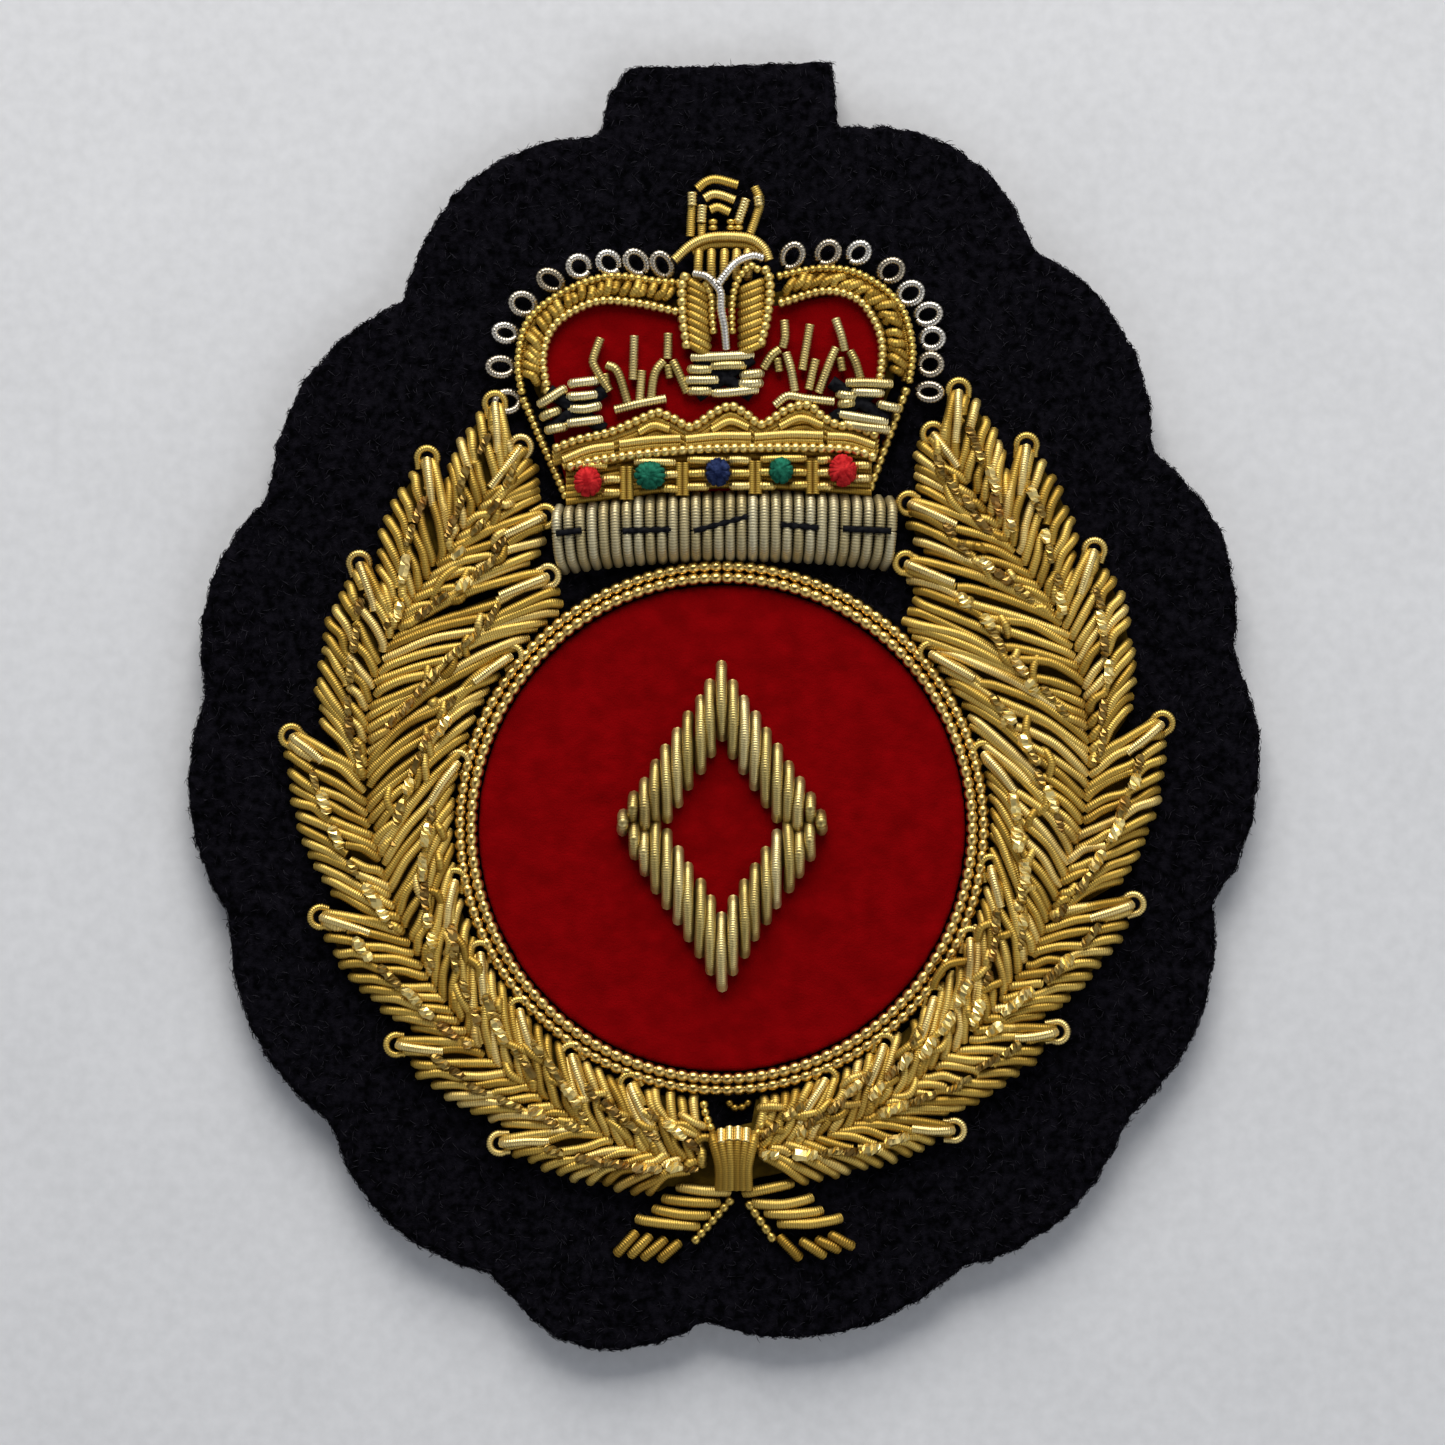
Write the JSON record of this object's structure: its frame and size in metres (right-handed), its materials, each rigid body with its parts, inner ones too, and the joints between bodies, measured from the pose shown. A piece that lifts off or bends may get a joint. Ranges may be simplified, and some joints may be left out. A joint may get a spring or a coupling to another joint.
{
  "type": "embroidered cap badge",
  "caption": "Flat scalloped felt badge with raised gold wire embroidery: crown over a round velvet field with an open lozenge, inside a laurel wreath.",
  "frame": {"origin": "middle of the flat cloth back, which rests on a surface at z = 0", "axes": "+Z out of the worked face, +Y up the badge towards the crown and the tab, +X to the right of the worked face"},
  "size_m": [0.0664, 0.0799, 0.0051],
  "materials": {
    "black_felt": "thick woollen melton, matt with a short raised nap and raw cut edges",
    "lining_cloth": "thin reddish-brown cotton backing, plain weave",
    "buckram": "stiff open-weave sized cotton",
    "padding_felt": "soft yellow padding felt and string under the raised work",
    "red_velvet": "short cut pile, deep red, with a soft sheen",
    "gold_beaded_cord": "gilt beaded wire, bright beads with dark gaps",
    "gold_purl": "gilt coiled wire, satin, mellowed with brown in the hollows",
    "pale_gold_purl": "gilt coiled wire, paler and duller",
    "silver_purl": "silver-plated coiled wire, bright with grey tarnish",
    "tarnished_silver_purl": "silver-plated coiled wire, tarnished to a greyish gold",
    "red_wool": "knotted matt wool thread",
    "green_wool": "knotted matt wool thread",
    "blue_wool": "knotted matt wool thread"
  },
  "bodies": {
    "root": {"arch_centre": "gold_purl", "arch_left": "gold_purl", "arch_right": "gold_purl", "back_lining": "lining_cloth", "buckram_stiffener": "buckram", "circlet": "gold_purl", "cross_centre": "pale_gold_purl", "cross_left": "pale_gold_purl", "cross_right": "pale_gold_purl", "crown_padding": "padding_felt", "crown_velvet": "red_velvet", "emblem_bar_lower_left": "pale_gold_purl", "emblem_bar_lower_right": "pale_gold_purl", "emblem_bar_upper_left": "pale_gold_purl", "emblem_bar_upper_right": "pale_gold_purl", "emblem_padding": "padding_felt", "ermine_roll": "tarnished_silver_purl", "felt_ground": "black_felt", "fleur_left": "pale_gold_purl", "fleur_right": "pale_gold_purl", "inner_leaf_left_1": "gold_purl", "inner_leaf_left_2": "gold_purl", "inner_leaf_left_3": "gold_purl", "inner_leaf_left_4": "gold_purl", "inner_leaf_left_5": "gold_purl", "inner_leaf_right_1": "gold_purl", "inner_leaf_right_2": "gold_purl", "inner_leaf_right_3": "gold_purl", "inner_leaf_right_4": "gold_purl", "inner_leaf_right_5": "gold_purl", "jewel_blue": "blue_wool", "jewel_green_left": "green_wool", "jewel_green_right": "green_wool", "jewel_red_left": "red_wool", "jewel_red_right": "red_wool", "orb_and_cross": "gold_purl", "outer_leaf_left_1": "gold_purl", "outer_leaf_left_2": "gold_purl", "outer_leaf_left_3": "gold_purl", "outer_leaf_left_4": "gold_purl", "outer_leaf_left_5": "gold_purl", "outer_leaf_left_6": "gold_purl", "outer_leaf_left_7": "gold_purl", "outer_leaf_right_1": "gold_purl", "outer_leaf_right_2": "gold_purl", "outer_leaf_right_3": "gold_purl", "outer_leaf_right_4": "gold_purl", "outer_leaf_right_5": "gold_purl", "outer_leaf_right_6": "gold_purl", "outer_leaf_right_7": "gold_purl", "ribbon_end_left": "gold_purl", "ribbon_end_right": "gold_purl", "ring_cord_inner": "gold_beaded_cord", "ring_cord_outer": "gold_beaded_cord", "silver_loops_left": "silver_purl", "silver_loops_right": "silver_purl", "tie": "gold_purl", "velvet_field": "red_velvet", "wreath_padding": "padding_felt"}
  },
  "joints": []
}
